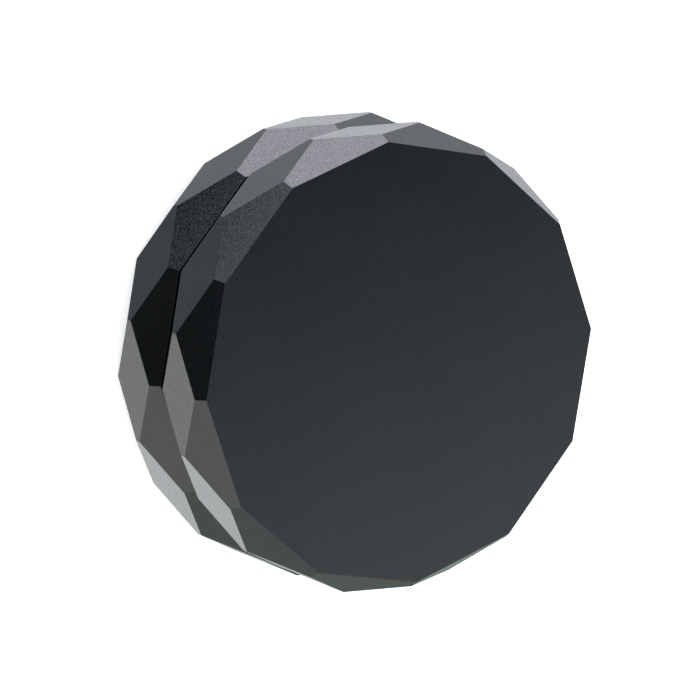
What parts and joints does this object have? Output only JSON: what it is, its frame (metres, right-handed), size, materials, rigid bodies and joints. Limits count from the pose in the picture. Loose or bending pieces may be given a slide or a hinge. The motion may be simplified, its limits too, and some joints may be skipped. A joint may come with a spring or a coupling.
{
  "type": "faceted hand grinder",
  "caption": "Faceted two-piece hand grinder: a toothed lid turns on a plastic glide ring over a toothed base and lifts off; magnets hold it shut.",
  "frame": {"origin": "middle of the base's flat underside", "axes": "+Z along the axis the lid turns about, from the base up to the lid; +X through the middle of one upright belt facet"},
  "size_m": [0.0608, 0.0608, 0.024],
  "materials": {
    "coated_aluminium": "bead-blasted and anodised black, with a fine satin sparkle",
    "magnet_plating": "nickel plating on a sintered magnet",
    "ring_plastic": "smooth low-friction plastic, black"
  },
  "bodies": {
    "base": {"base_body": "coated_aluminium", "base_outer_teeth": "coated_aluminium", "base_inner_teeth": "coated_aluminium", "base_magnet": "magnet_plating"},
    "ring": {"glide_ring": "ring_plastic"},
    "lid": {"lid_body": "coated_aluminium", "lid_outer_teeth": "coated_aluminium", "lid_inner_teeth": "coated_aluminium", "lid_magnet": "magnet_plating"}
  },
  "joints": [
    {"name": "lid_spin", "type": "hinge", "parent": "base", "child": "ring", "pos_m": [0, 0, 0.012], "axis": [0, 0, 1], "continuous": true},
    {"name": "lid_lift", "type": "slide", "parent": "ring", "child": "lid", "axis": [0, 0, 1], "range_m": [0, 0.03]}
  ]
}
